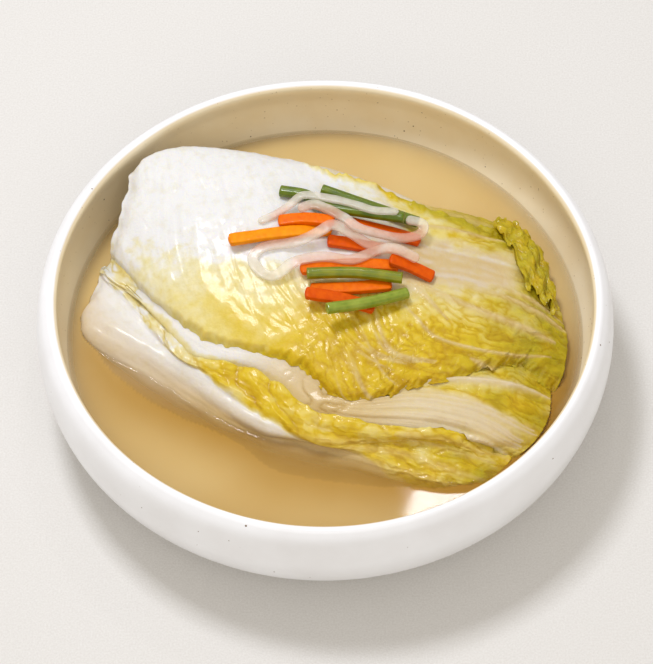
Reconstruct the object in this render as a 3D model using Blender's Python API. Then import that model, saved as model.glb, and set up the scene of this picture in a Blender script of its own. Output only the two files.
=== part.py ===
"""White kimchi (baek-kimchi): a quarter of a pickled napa cabbage in its brine and stoneware bowl.

The bowl stands on z = 0 with its axis on the origin. The cabbage lies with its stem ends at -X
and its leaf tips at +X. Lengths are in millimetres until each mesh is made.
"""
import math

import bmesh
import bpy
import numpy as np
from mathutils import Vector
from mathutils.bvhtree import BVHTree

MM = 0.001

# Clear space between neighbouring pieces, between leaves, and between the brine and the cabbage.
GAP = 0.4
LEAF_GAP = 1.2
BRINE_GAP = 1.3

# Bowl: a thick turned bowl with a belly below a soft, rounded rim.
BOWL_HEIGHT = 55.0
RIM_INNER_RADIUS = 108.0
RIM_OUTER_RADIUS = 113.0
BELLY_RADIUS = 117.0
FOOT_RADIUS = 72.0
FLOOR_Z = 7.0
FLOOR_RADIUS = 58.0
BOWL_SEGMENTS = 48
WALL_SAMPLES = 11

# Brine.
BRINE_Z = 29.0
BRINE_RADIUS = 105.3

# Cabbage: its clearance from the bowl's wall, its leaves' thickness, the number of waves along
# a leaf's frilly margin, the axis that depths are measured towards, and the columns of its grid.
WALL_CLEARANCE = 2.0
PETIOLE_THICKNESS = 6.5
BLADE_THICKNESS = 2.2
FRILL_COUNT = 7
AXIS_START = np.array([-78.0, 34.0, 24.0])
AXIS_END = np.array([80.0, -22.0, 21.0])
AXIS_DIRECTION = (AXIS_END - AXIS_START) / np.linalg.norm(AXIS_END - AXIS_START)
COLUMNS = 26
HEART_DEPTH = 10.5

# Garnish sections, width by thickness.
CARROT_SECTION = (4.2, 3.0)
RADISH_SECTION = (3.6, 2.6)
STEM_SECTION = (4.6, 4.0)

# Lines that run along the cabbage from the stem ends to the leaf tips, in order from the back
# of the base over the top to the front of the base. The leaves are lofted over them.
GUIDES = [
    ("back base", [(-52, 34, 7), (-30, 47, 7), (0, 44, 7), (32, 34, 7), (52, 16, 7)]),
    ("back waterline", [(-79, 64, 29), (-62, 78, 29), (-38, 82, 29), (4, 74, 29), (40, 61, 29),
                        (72, 52, 29), (92, 27, 27)]),
    ("ridge", [(-80, 70, 50), (-65, 76, 53), (-43, 75, 54), (-9, 68, 53), (14, 63, 50),
               (39, 52, 46), (64, 45, 42), (82, 40, 38), (92, 20, 32)]),
    ("crest", [(-84, 50, 49), (-51, 49, 56), (-15, 39, 57), (22, 30, 55), (55, 20, 50),
               (83, 8, 43), (97, 3, 33)]),
    ("flank", [(-89, 36, 43), (-55, 21, 52), (-14, 3, 54), (22, -6, 53), (54, -11, 49),
               (82, -14, 42), (98, -13, 32)]),
    ("cap margin", [(-93, 27, 37), (-72, 5, 41), (-44, -16, 45), (-13, -28, 47), (12, -44, 45),
                    (41, -39, 45), (69, -36, 42), (93, -33, 31)]),
    ("second edge", [(-94, 26, 34), (-71, 4, 36), (-53, -19, 37), (-30, -27, 39), (-2, -48, 38),
                     (45, -56, 39), (69, -57, 36), (85, -52, 30)]),
    ("third edge", [(-94, 23, 33), (-77, 0, 34), (-57, -22, 33), (-23, -50, 33), (2, -56, 33),
                    (32, -57, 34), (51, -61, 33), (73, -64, 29)]),
    ("waterline", [(-98, 13, 30), (-96, -1, 30), (-70, -20, 29), (-30, -47, 29), (-14, -53, 29),
                   (6, -60, 29), (29, -67, 29), (49, -73, 29), (62, -73, 26)]),
    ("shoulder", [(-97, 9, 24), (-95, -5, 22), (-74, -31, 21), (-34, -55, 19), (-19, -67, 18),
                  (6, -72, 17), (29, -74, 17), (52, -68, 17)]),
    ("front base", [(-54, 8, 7), (-40, -30, 7), (-8, -46, 7), (24, -46, 7), (46, -30, 7)]),
]
GUIDE_NAMES = [name for name, _ in GUIDES]
CAP_MARGIN = GUIDE_NAMES.index("cap margin")
SECOND_EDGE = GUIDE_NAMES.index("second edge")
STEM_LINE = GUIDE_NAMES.index("waterline")
LAST_GUIDE = len(GUIDES) - 1


# ---------------------------------------------------------------- curves

def knots_and_tangents(points):
    """Knots spaced by the root of the distance, and tangents, for points along the first axis."""
    steps = np.sqrt(np.linalg.norm(np.diff(points, axis=0), axis=-1))
    knots = np.concatenate([np.zeros_like(steps[:1]), np.cumsum(steps, axis=0)])
    gaps = np.diff(knots, axis=0)[..., None]
    slopes = np.diff(points, axis=0) / gaps
    inner = (slopes[:-1] * gaps[1:] + slopes[1:] * gaps[:-1]) / (gaps[:-1] + gaps[1:])
    return knots, np.concatenate([slopes[:1], inner, slopes[-1:]])


def hermite(t, width, start, start_tangent, end, end_tangent):
    """A point at fraction t of the cubic between two points with tangents."""
    return ((2 * t**3 - 3 * t**2 + 1) * start + (t**3 - 2 * t**2 + t) * width * start_tangent
            + (-2 * t**3 + 3 * t**2) * end + (t**3 - t**2) * width * end_tangent)


def smooth_curve(points, at):
    """Positions at fractions `at` of a smooth curve through the points."""
    points = np.asarray(points, float)
    knots, tangents = knots_and_tangents(points)
    place = np.clip(np.asarray(at, float), 0.0, 1.0) * knots[-1]
    span = np.clip(np.searchsorted(knots, place, side="right") - 1, 0, len(points) - 2)
    width = (knots[span + 1] - knots[span])[..., None]
    t = (place - knots[span])[..., None] / width
    return hermite(t, width, points[span], tangents[span], points[span + 1], tangents[span + 1])


def ease(low, high, value):
    """0 below low, 1 above high and a smooth step between."""
    t = np.clip((value - low) / (high - low), 0.0, 1.0)
    return t * t * (3.0 - 2.0 * t)


# ---------------------------------------------------------------- bowl profile

def outer_profile():
    """Outside of the bowl from the foot up to the top of the rim, as (radius, z)."""
    return smooth_curve([(FOOT_RADIUS, 0.0), (FOOT_RADIUS + 16, 3.5), (BELLY_RADIUS - 13, 12.0),
                         (BELLY_RADIUS - 3.5, 22.0), (BELLY_RADIUS, 35.0), (BELLY_RADIUS - 0.8, 45.0),
                         (RIM_OUTER_RADIUS + 1.2, 51.5), (RIM_OUTER_RADIUS - 1.8, BOWL_HEIGHT)],
                        np.linspace(0.0, 1.0, WALL_SAMPLES))


def inner_profile():
    """Inside of the bowl from the rim down to the edge of the flat floor, as (radius, z)."""
    return smooth_curve([(RIM_INNER_RADIUS + 1.2, BOWL_HEIGHT - 0.2), (RIM_INNER_RADIUS, BOWL_HEIGHT - 2),
                         (RIM_INNER_RADIUS + 1.8, 43.0), (RIM_INNER_RADIUS + 0.6, 35.0),
                         (BRINE_RADIUS, BRINE_Z), (96.0, 18.5), (80.0, 10.5), (FLOOR_RADIUS, FLOOR_Z)],
                        np.linspace(0.0, 1.0, WALL_SAMPLES))


def inner_radius(z):
    """Inside radius of the bowl at height z."""
    wall = inner_profile()[::-1]
    return np.interp(z, wall[:, 1], wall[:, 0])


# ---------------------------------------------------------------- cabbage surface

def cabbage_surface(u, v, depth=0.0):
    """Point of the cabbage at u (0 stem ends to 1 tips) and v (guide number), `depth` under its skin.

    A depth is measured towards the cabbage's long axis, so layers at growing depths never cross.
    """
    u, v, depth = np.broadcast_arrays(np.asarray(u, float), np.asarray(v, float), depth)
    lines = np.stack([smooth_curve(points, u) for _, points in GUIDES])
    knots, tangents = knots_and_tangents(lines)
    span = np.clip(np.floor(v).astype(int), 0, LAST_GUIDE - 1)
    low = span[None, ..., None]

    def at_guide(values, index):
        return np.take_along_axis(values, index, axis=0)[0]

    width = at_guide(knots[..., None], low + 1) - at_guide(knots[..., None], low)
    point = hermite((v - span)[..., None], width, at_guide(lines, low), at_guide(tangents, low),
                    at_guide(lines, low + 1), at_guide(tangents, low + 1))
    radius = np.hypot(point[..., 0], point[..., 1])
    limit = inner_radius(point[..., 2]) - WALL_CLEARANCE
    point[..., :2] *= np.minimum(1.0, limit / np.maximum(radius, 1.0))[..., None]
    inward = AXIS_START + u[..., None] * (AXIS_END - AXIS_START) - point
    inward /= np.linalg.norm(inward, axis=-1, keepdims=True)
    return point + inward * depth[..., None]


def constant(value):
    """A margin or thickness that is the same all along."""
    return lambda u, *_: np.full(np.shape(u), float(value))


def frill(u, size, phase):
    """Waviness of a leaf's margin, in guide numbers."""
    turn = 2 * math.pi * FRILL_COUNT * u + phase
    return size * (0.7 * np.sin(turn) + 0.3 * np.sin(2.3 * turn))


def cap_back(u):
    """Back margin of the top leaf: behind the ridge at the stem, in front of it further along."""
    return 1.35 + 0.85 * ease(0.3, 0.58, u) + frill(u, 0.04, 0.4)


def cap_front(u):
    """Front margin of the top leaf."""
    return CAP_MARGIN + frill(u, 0.16, 1.2) * ease(0.0, 0.15, u)


def cap_thickness(u, v):
    """The top leaf is a thick white petiole at the stem end and a thin blade elsewhere."""
    petiole = (1 - ease(0.25, 0.75, u)) * (1 - ease(0.3, 1.6, np.abs(v - 2.8)))
    return BLADE_THICKNESS + (PETIOLE_THICKNESS - BLADE_THICKNESS) * petiole


def second_front(u):
    """Front margin of the second leaf."""
    return SECOND_EDGE + frill(u, 0.08, 2.0)


def second_thickness(u, v):
    """The second leaf is thickest along its white stem."""
    return BLADE_THICKNESS + 2.0 * np.exp(-((v - 5.4) / 0.5)**2) * (1 - ease(0.5, 0.9, u))


def front_thickness(u, v):
    """The front leaf is thickest along the white stem that dips into the brine."""
    return BLADE_THICKNESS + 1.5 * np.exp(-((v - STEM_LINE) / 0.9)**2)


def tip_height(u, v):
    """The curled tip stands off the leaves below in short waves."""
    return -LEAF_GAP - 3.4 - 1.4 * np.sin(36 * u) * np.sin(5.2 * v)


def under_cap(u, v):
    """Depth of what lies right under the top leaf: zero outside its margins."""
    inside_front = 1 - ease(0.06, 0.3, v - cap_front(u))
    inside_back = 1 - ease(0.15, 0.6, cap_back(u) - v)
    return inside_front * inside_back * (cap_thickness(u, v) + LEAF_GAP)


def under_second(u, v):
    """Depth of what lies right under the second leaf."""
    covered = 1 - ease(0.06, 0.35, v - second_front(u))
    return covered * (second_thickness(u, v) + LEAF_GAP) + under_cap(u, v)


def heart_depth(u, v):
    """Depth of the packed inner leaves under the loose outer ones."""
    return HEART_DEPTH * ease(1.0, 1.45, v) * (1 - 0.3 * ease(5.8, 6.6, v)) * (1 - ease(9.0, 9.6, v))


# ---------------------------------------------------------------- meshes

def finish(name, bm, colour, roughness):
    """Make the named object, with its own material, from a bmesh in millimetres."""
    bmesh.ops.recalc_face_normals(bm, faces=bm.faces)
    bmesh.ops.scale(bm, vec=(MM, MM, MM), verts=bm.verts)
    mesh = bpy.data.meshes.new(name)
    bm.to_mesh(mesh)
    bm.free()
    mesh.shade_smooth()
    mesh.set_sharp_from_angle(angle=math.radians(50))
    material = bpy.data.materials.new(name)
    material.use_nodes = True
    shader = material.node_tree.nodes["Principled BSDF"]
    shader.inputs["Base Color"].default_value = (*colour, 1.0)
    shader.inputs["Roughness"].default_value = roughness
    mesh.materials.append(material)
    part = bpy.data.objects.new(name, mesh)
    bpy.context.collection.objects.link(part)
    return part


def grid_verts(bm, points):
    """A grid of vertices, one for each position of a two-dimensional array of points."""
    return [[bm.verts.new(point) for point in column] for column in points]


def bridge(bm, first, second, closed=True):
    """Quads between two rows of vertices."""
    for k in range(len(first) if closed else len(first) - 1):
        n = (k + 1) % len(first)
        bm.faces.new([first[k], second[k], second[n], first[n]])


def border(grid):
    """The vertices round the outside of a grid, in order."""
    return (grid[0] + [column[-1] for column in grid[1:]] + grid[-1][-2::-1]
            + [column[0] for column in grid[-2:0:-1]])


def leaf(name, first, last, rows, margins, outer, thickness, colour):
    """One loose leaf: a curved slab between its two margins, thinner along its edges."""
    back, front = margins
    u = (np.arange(first, last + 1) / COLUMNS)[:, None]
    share = np.linspace(0.0, 1.0, rows)[None, :]
    v = back(u) + (front(u) - back(u)) * share
    u = np.broadcast_to(u, v.shape)
    taper = 0.45 + 0.55 * ease(0.0, 0.12, share) * ease(0.0, 0.12, 1.0 - share)
    top = outer(u, v)
    bm = bmesh.new()
    upper = grid_verts(bm, cabbage_surface(u, v, top))
    lower = grid_verts(bm, cabbage_surface(u, v, top + thickness(u, v) * taper))
    for grid in (upper, lower):
        for left, right in zip(grid[:-1], grid[1:]):
            bridge(bm, left, right, closed=False)
    bridge(bm, border(upper), border(lower))
    return finish(name, bm, colour, 0.35)


def loft_around(name, span, depth, end_bulge, end_shift, base_drop, colour):
    """A closed body over the whole cabbage surface, with bulged ends and a flat underside."""
    v = np.concatenate([np.arange(0.0, 1.0, 0.34), np.arange(1.0, 9.0, 0.5),
                        np.arange(9.0, LAST_GUIDE + 0.1, 0.34)])[None, :]
    u, v = np.broadcast_arrays(np.linspace(*span, COLUMNS + 1)[:, None], v)
    points = cabbage_surface(u, v, depth(u, v))
    points[0] -= AXIS_DIRECTION * end_shift
    points[-1] += AXIS_DIRECTION * end_shift
    points[:, (0, -1), 2] -= base_drop
    bm = bmesh.new()
    rings = grid_verts(bm, points)
    for left, right in zip(rings[:-1], rings[1:]):
        bridge(bm, left, right)
    for ring, ring_points, side in ((rings[0], points[0], -1), (rings[-1], points[-1], 1)):
        hub = bm.verts.new(ring_points.mean(axis=0) + AXIS_DIRECTION * side * end_bulge)
        for k, vert in enumerate(ring):
            bm.faces.new([vert, ring[(k + 1) % len(ring)], hub])
    return finish(name, bm, colour, 0.4)


def turned(name, profile, colour, roughness):
    """Revolve a profile of (radius, z), whose first and last points lie on the axis."""
    bm = bmesh.new()
    angles = [2 * math.pi * k / BOWL_SEGMENTS for k in range(BOWL_SEGMENTS)]
    rings = [[bm.verts.new((radius * math.cos(a), radius * math.sin(a), z)) for a in angles]
             for radius, z in profile[1:-1]]
    for low, high in zip(rings[:-1], rings[1:]):
        bridge(bm, low, high)
    for ring, (_, z) in ((rings[0], profile[0]), (rings[-1], profile[-1])):
        hub = bm.verts.new((0.0, 0.0, z))
        for k, vert in enumerate(ring):
            bm.faces.new([vert, ring[(k + 1) % len(ring)], hub])
    return finish(name, bm, colour, roughness)


# ---------------------------------------------------------------- bowl and brine

def make_bowl():
    """Glazed stoneware bowl, open at the top, standing on a flat foot."""
    profile = [(0.0, 0.0), *outer_profile().tolist(), *inner_profile().tolist(), (0.0, FLOOR_Z)]
    return turned("bowl", profile, (0.82, 0.81, 0.79), 0.3)


def make_brine():
    """Brine up to its level, cut round the cabbage."""
    wall = [(radius - GAP, z + GAP) for radius, z in inner_profile().tolist() if z < BRINE_Z - 1.0]
    surface = [(0.0, BRINE_Z), (inner_radius(BRINE_Z) - GAP, BRINE_Z)]
    brine = turned("brine", [*surface, *wall, (0.0, FLOOR_Z + GAP)], (0.62, 0.47, 0.24), 0.08)
    cutter = loft_around("cabbage_cutter", (0.0, 1.0), constant(-BRINE_GAP),
                         end_bulge=9.0, end_shift=1.5, base_drop=2.0, colour=(0.5, 0.5, 0.5))
    cutter.hide_render = True
    cutter.display_type = "WIRE"
    cut = brine.modifiers.new("round the cabbage", "BOOLEAN")
    cut.operation = "DIFFERENCE"
    cut.solver = "EXACT"
    cut.object = cutter
    return brine


# ---------------------------------------------------------------- cabbage pieces

WHITE_STEM = (0.80, 0.78, 0.66)
PALE_BLADE = (0.80, 0.72, 0.38)
YELLOW_BLADE = (0.72, 0.60, 0.14)
GREEN_TIP = (0.42, 0.42, 0.05)


def make_cabbage():
    """The packed inner leaves and the loose leaves that wrap them, from the bottom up."""
    heart = loft_around("cabbage_heart", (0.02, 0.97), heart_depth,
                        end_bulge=3.0, end_shift=0.0, base_drop=-GAP, colour=PALE_BLADE)
    front = leaf("leaf_front", 0, COLUMNS, 8, (constant(5.5), constant(9.0)),
                 under_second, front_thickness, WHITE_STEM)
    second = leaf("leaf_second", 1, COLUMNS, 6, (constant(4.6), second_front),
                  under_cap, second_thickness, YELLOW_BLADE)
    back = leaf("leaf_back", 9, COLUMNS - 1, 7, (constant(1.3), constant(2.75)),
                under_cap, constant(2.6), WHITE_STEM)
    cap = leaf("leaf_cap", 0, COLUMNS, 13, (cap_back, cap_front),
               constant(0.0), cap_thickness, PALE_BLADE)
    tip = leaf("leaf_tip_curl", 21, COLUMNS - 1, 7, (constant(1.9), constant(3.1)),
               tip_height, constant(2.4), GREEN_TIP)
    return [heart, front, second, back, cap, tip]


# ---------------------------------------------------------------- garnish

# Paths of the strips seen from above. Each lies on what was laid down before it.
CARROTS = [
    ((-39, 24), (-18, 28), (3, 30)),
    ((-10, 10), (10, 13), (30, 13)),
    ((-6, 1), (10, 2), (27, 4)),
    ((-19, 34), (-8, 34), (4, 31)),
    ((8, 34), (23, 31), (39, 27)),
    ((1, 24), (11, 23), (23, 21)),
    ((26, 14), (35, 12), (44, 9)),
    ((-8, -3), (6, -4), (20, -7)),
]
STEMS = [
    ((-18, 49), (-7, 46), (-2, 41), (14, 37), (32, 33)),
    ((-7, 6), (12, 7), (31, 5)),
    ((1, -12), (17, -7), (33, 0)),
    ((-1, 50), (18, 43), (38, 36)),
]
RADISHES = [
    ((33, 21), (20, 21), (11, 25), (3, 28), (-1, 26), (-10, 23), (-19, 23), (-26, 21), (-29, 17),
     (-26, 11), (-20, 8), (-13, 12), (-1, 15), (11, 14), (20, 18), (27, 18), (38, 14)),
    ((-11, 38), (-4, 39), (3, 35), (8, 31), (13, 27), (20, 26), (31, 26), (39, 29), (40, 33), (33, 35)),
    ((-27, 34), (-15, 40), (-9, 44), (-2, 43), (5, 41), (13, 38), (20, 35), (30, 34)),
]
CARROT_COLOUR = (0.80, 0.20, 0.02)
STEM_COLOUR = (0.10, 0.22, 0.01)
RADISH_COLOUR = (0.72, 0.66, 0.60)
FINE_STEPS = 6


class Pile:
    """What the garnish rests on: the top of everything laid down so far."""

    def __init__(self, parts):
        self.trees = []
        for part in parts:
            self.add(part)

    def add(self, part):
        corners = [vert.co / MM for vert in part.data.vertices]
        faces = [tuple(face.vertices) for face in part.data.polygons]
        self.trees.append(BVHTree.FromPolygons(corners, faces))

    def top(self, x, y):
        """Height of the pile under (x, y)."""
        hits = [tree.ray_cast(Vector((x, y, 2 * BOWL_HEIGHT)), Vector((0, 0, -1)))[0]
                for tree in self.trees]
        return max(hit.z for hit in hits if hit is not None)


def support_heights(pile, path, section):
    """Lowest centre heights that keep a strip of this section clear of the pile along its path."""
    sideways = np.gradient(path, axis=0)[:, ::-1] * (-1.0, 1.0)
    sideways /= np.linalg.norm(sideways, axis=1, keepdims=True)
    width, height = section
    offsets = np.linspace(-1.0, 1.0, 5) * (width / 2 + GAP)
    tops = [max(pile.top(*(point + side * offset)) for offset in offsets)
            for point, side in zip(path, sideways)]
    return np.array(tops) + height / 2 + GAP


def stiff_heights(along, support):
    """The straight line that rests on the support on either side of the strip's middle."""
    middle = along[-1] / 2
    best = np.full_like(along, support.max())
    for i in np.flatnonzero(along < middle):
        for j in np.flatnonzero(along >= middle):
            slope = (support[j] - support[i]) / (along[j] - along[i])
            line = support[i] + slope * (along - along[i])
            if line.mean() < best.mean() and np.all(line >= support - 1e-6):
                best = line
    return best


def limp_heights(along, support, steepest=0.35):
    """A drape over the support that climbs and falls no faster than `steepest`."""
    reach = np.abs(along[:, None] - along[None, :]) - 2.0
    return (support[None, :] - steepest * np.maximum(reach, 0.0)).max(axis=1)


def strip(name, pile, points, section, samples, heights, colour, sides):
    """A cut strip laid on the pile along a smooth path, with rounded edges and ends."""
    path = smooth_curve(points, np.linspace(0.0, 1.0, samples * FINE_STEPS + 1))
    along = np.concatenate([[0.0], np.cumsum(np.linalg.norm(np.diff(path, axis=0), axis=1))])
    level = heights(along, support_heights(pile, path, section))
    centre = np.column_stack([path, level])[::FINE_STEPS]
    ahead = np.gradient(centre, axis=0)
    ahead /= np.linalg.norm(ahead, axis=1, keepdims=True)
    across = np.column_stack([-ahead[:, 1], ahead[:, 0], np.zeros(len(ahead))])
    across /= np.linalg.norm(across, axis=1, keepdims=True)
    rise = np.cross(ahead, across)
    fullness = np.ones(len(centre))
    fullness[[0, -1]] = 0.72
    turn = 2 * math.pi * (np.arange(sides) + 0.5) / sides
    sideways = np.cos(turn) * section[0] / 2
    upward = np.sin(turn) * section[1] / 2
    rings = (centre[:, None, :] + fullness[:, None, None]
             * (across[:, None, :] * sideways[:, None] + rise[:, None, :] * upward[:, None]))
    bm = bmesh.new()
    verts = grid_verts(bm, rings)
    for first, second in zip(verts[:-1], verts[1:]):
        bridge(bm, first, second)
    bm.faces.new(verts[0])
    bm.faces.new(verts[-1])
    part = finish(name, bm, colour, 0.35)
    pile.add(part)
    return part


def make_garnish(cabbage):
    """Carrot, green stem and radish strips laid across the top leaf."""
    pile = Pile(cabbage)
    for number, path in enumerate(CARROTS, 1):
        strip(f"carrot_strip_{number}", pile, path, CARROT_SECTION, 4, stiff_heights, CARROT_COLOUR, 8)
    for number, path in enumerate(STEMS, 1):
        strip(f"green_stem_{number}", pile, path, STEM_SECTION, 5, stiff_heights, STEM_COLOUR, 8)
    for number, path in enumerate(RADISHES, 1):
        samples = round(1.1 * len(path))
        strip(f"radish_strip_{number}", pile, path, RADISH_SECTION, samples, limp_heights,
              RADISH_COLOUR, 6)


# ---------------------------------------------------------------- assembly

def clear_scene():
    """Start from an empty scene."""
    for existing in list(bpy.data.objects):
        bpy.data.objects.remove(existing, do_unlink=True)


def main():
    clear_scene()
    make_bowl()
    make_brine()
    make_garnish(make_cabbage())


main()
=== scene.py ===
"""White kimchi (baek-kimchi): a quarter of a pickled napa cabbage in its brine and stoneware bowl.

The bowl stands on z = 0 with its axis on the origin. The cabbage lies with its stem ends at -X
and its leaf tips at +X. A place on the cabbage is given by u, from 0 at the stem ends to 1 at the
tips, and v, the number of the guide line, from the back of the base over the top to the front of
the base. Lengths are in millimetres until each mesh is made.
"""

import math

import bmesh
import bpy
import numpy as np
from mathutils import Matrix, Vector
from mathutils.bvhtree import BVHTree


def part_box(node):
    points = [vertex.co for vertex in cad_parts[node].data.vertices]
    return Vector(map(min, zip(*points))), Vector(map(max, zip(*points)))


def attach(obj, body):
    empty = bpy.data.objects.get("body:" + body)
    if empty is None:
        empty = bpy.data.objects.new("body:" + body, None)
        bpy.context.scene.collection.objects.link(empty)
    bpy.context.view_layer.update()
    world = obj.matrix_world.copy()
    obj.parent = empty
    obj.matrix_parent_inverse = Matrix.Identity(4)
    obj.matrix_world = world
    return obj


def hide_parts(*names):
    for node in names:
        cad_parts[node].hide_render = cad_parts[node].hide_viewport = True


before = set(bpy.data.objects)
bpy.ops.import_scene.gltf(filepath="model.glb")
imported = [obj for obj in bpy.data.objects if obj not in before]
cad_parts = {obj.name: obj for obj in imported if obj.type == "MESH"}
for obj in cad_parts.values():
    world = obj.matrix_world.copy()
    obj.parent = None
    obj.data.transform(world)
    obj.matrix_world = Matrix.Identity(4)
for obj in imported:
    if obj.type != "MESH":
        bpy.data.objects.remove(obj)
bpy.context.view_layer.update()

MM = 0.001

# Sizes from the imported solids.
BOWL_LOW, BOWL_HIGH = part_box("bowl")
BOWL_HEIGHT = BOWL_HIGH.z / MM
BELLY_RADIUS = BOWL_HIGH.x / MM
BRINE_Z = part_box("brine")[1].z / MM
RIM_INNER_RADIUS = BELLY_RADIUS - 9.0
RIM_OUTER_RADIUS = BELLY_RADIUS - 4.0
FOOT_RADIUS = 72.0
FLOOR_Z = 7.0
FLOOR_RADIUS = 58.0
BRINE_RADIUS = 105.3

# The cabbage's clearance from the bowl's wall, its leaves' thickness and the axis it lies along.
WALL_CLEARANCE = 2.0
LEAF_GAP = 1.2
PETIOLE_THICKNESS = 6.5
BLADE_THICKNESS = 2.2
FRILL_COUNT = 7
AXIS_START = np.array([-78.0, 34.0, 24.0])
AXIS_END = np.array([80.0, -22.0, 21.0])
AXIS_WAY = (AXIS_END - AXIS_START) / np.linalg.norm(AXIS_END - AXIS_START)
HEART_DEPTH = 10.5
GAP = 0.3

# Garnish sections, width by thickness.
CARROT_SECTION = (5.2, 2.6)
RADISH_SECTIONS = [(4.6, 1.7), (4.2, 1.7), (3.4, 1.7)]
STEM_SECTION = (4.6, 4.1)

# Lines that run along the cabbage from the stem ends to the leaf tips, as in the solids.
GUIDES = [
    ("back base", [(-52, 34, 7), (-30, 47, 7), (0, 44, 7), (32, 34, 7), (52, 16, 7)]),
    ("back waterline", [(-79, 64, 29), (-62, 78, 29), (-38, 82, 29), (4, 74, 29), (40, 61, 29),
                        (72, 52, 29), (92, 27, 27)]),
    ("ridge", [(-80, 70, 50), (-65, 76, 53), (-43, 75, 54), (-9, 68, 53), (14, 63, 50),
               (39, 52, 46), (64, 45, 42), (82, 40, 38), (92, 20, 32)]),
    ("crest", [(-84, 50, 49), (-51, 49, 56), (-15, 39, 57), (22, 30, 55), (55, 20, 50),
               (83, 8, 43), (97, 3, 33)]),
    ("flank", [(-89, 36, 43), (-55, 21, 52), (-14, 3, 54), (22, -6, 53), (54, -11, 49),
               (82, -14, 42), (98, -13, 32)]),
    ("cap margin", [(-93, 27, 37), (-72, 5, 41), (-44, -16, 45), (-13, -28, 47), (12, -44, 45),
                    (41, -39, 45), (69, -36, 42), (93, -33, 31)]),
    ("second edge", [(-94, 26, 34), (-71, 4, 36), (-53, -19, 37), (-30, -27, 39), (-2, -48, 38),
                     (45, -56, 39), (69, -57, 36), (85, -52, 30)]),
    ("third edge", [(-94, 23, 33), (-77, 0, 34), (-57, -22, 33), (-23, -50, 33), (2, -56, 33),
                    (32, -57, 34), (51, -61, 33), (73, -64, 29)]),
    ("waterline", [(-98, 13, 30), (-96, -1, 30), (-70, -20, 29), (-30, -47, 29), (-14, -53, 29),
                   (6, -60, 29), (29, -67, 29), (49, -73, 29), (62, -73, 26)]),
    ("shoulder", [(-97, 9, 24), (-95, -5, 22), (-74, -31, 21), (-34, -55, 19), (-19, -67, 18),
                  (6, -72, 17), (29, -74, 17), (52, -68, 17)]),
    ("front base", [(-54, 8, 7), (-40, -30, 7), (-8, -46, 7), (24, -46, 7), (46, -30, 7)]),
]
GUIDE_NAMES = [name for name, _ in GUIDES]
CAP_MARGIN = GUIDE_NAMES.index("cap margin")
SECOND_EDGE = GUIDE_NAMES.index("second edge")
STEM_LINE = GUIDE_NAMES.index("waterline")
LAST_GUIDE = len(GUIDES) - 1


# ---------------------------------------------------------------- curves

def knots_and_tangents(points):
    """Knots spaced by the root of the distance, and tangents, for points along the first axis."""
    steps = np.sqrt(np.linalg.norm(np.diff(points, axis=0), axis=-1))
    knots = np.concatenate([np.zeros_like(steps[:1]), np.cumsum(steps, axis=0)])
    gaps = np.diff(knots, axis=0)[..., None]
    slopes = np.diff(points, axis=0) / gaps
    inner = (slopes[:-1] * gaps[1:] + slopes[1:] * gaps[:-1]) / (gaps[:-1] + gaps[1:])
    return knots, np.concatenate([slopes[:1], inner, slopes[-1:]])


def hermite(t, width, start, start_tangent, end, end_tangent):
    """A point at fraction t of the cubic between two points with tangents."""
    return ((2 * t**3 - 3 * t**2 + 1) * start + (t**3 - 2 * t**2 + t) * width * start_tangent
            + (-2 * t**3 + 3 * t**2) * end + (t**3 - t**2) * width * end_tangent)


def smooth_curve(points, at):
    """Positions at fractions `at` of a smooth curve through the points."""
    points = np.asarray(points, float)
    knots, tangents = knots_and_tangents(points)
    place = np.clip(np.asarray(at, float), 0.0, 1.0) * knots[-1]
    span = np.clip(np.searchsorted(knots, place, side="right") - 1, 0, len(points) - 2)
    width = (knots[span + 1] - knots[span])[..., None]
    t = (place - knots[span])[..., None] / width
    return hermite(t, width, points[span], tangents[span], points[span + 1], tangents[span + 1])


def ease(low, high, value):
    """0 below low, 1 above high and a smooth step between."""
    t = np.clip((value - low) / (high - low), 0.0, 1.0)
    return t * t * (3.0 - 2.0 * t)


def bell(value, middle, width):
    """A smooth hump of height 1 round the middle."""
    return np.exp(-((value - middle) / width)**2)


# ---------------------------------------------------------------- noise

LATTICE = 256
DICE = np.random.default_rng(7)
ORDER = np.tile(DICE.permutation(LATTICE), 3)
SLOPES = DICE.normal(size=(LATTICE, 3))
SLOPES /= np.linalg.norm(SLOPES, axis=1, keepdims=True)
NOISE_GAIN = 1.5


def noise(points, size, seed=0):
    """Smooth noise between about -1 and 1, with lumps of `size` millimetres."""
    place = points / size + seed * 13.37
    cell = np.floor(place).astype(int)
    offset = place - cell
    fade = offset**3 * (offset * (offset * 6 - 15) + 10)
    total = 0.0
    for corner in np.ndindex(2, 2, 2):
        corner = np.array(corner)
        x, y, z = np.moveaxis((cell + corner) % LATTICE, -1, 0)
        slope = SLOPES[ORDER[ORDER[ORDER[x] + y] + z]]
        weight = np.prod(np.where(corner, fade, 1 - fade), axis=-1)
        total = total + weight * np.sum(slope * (offset - corner), axis=-1)
    return total * NOISE_GAIN


def streaks(points, along, size, reach, seed=0):
    """Noise smeared `reach` millimetres along the veins."""
    count = max(3, math.ceil(1.6 * reach / size))
    steps = np.linspace(-reach / 2, reach / 2, count)
    total = sum(noise(points + along * step, size, seed) for step in steps)
    return total / count * math.sqrt(1 + reach / size)


def creases(values, sharpness=0.12):
    """1 in the narrow creases where the noise crosses zero, falling to 0 on the swellings."""
    return np.exp(-np.abs(values) / sharpness)


def warped(points, size, reach, seed):
    """Points pushed about at random, which breaks up the regular look of noise."""
    push = [noise(points, size, seed + k) for k in range(3)]
    return points + reach * np.stack(push, axis=-1)


# ---------------------------------------------------------------- bowl profile

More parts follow.
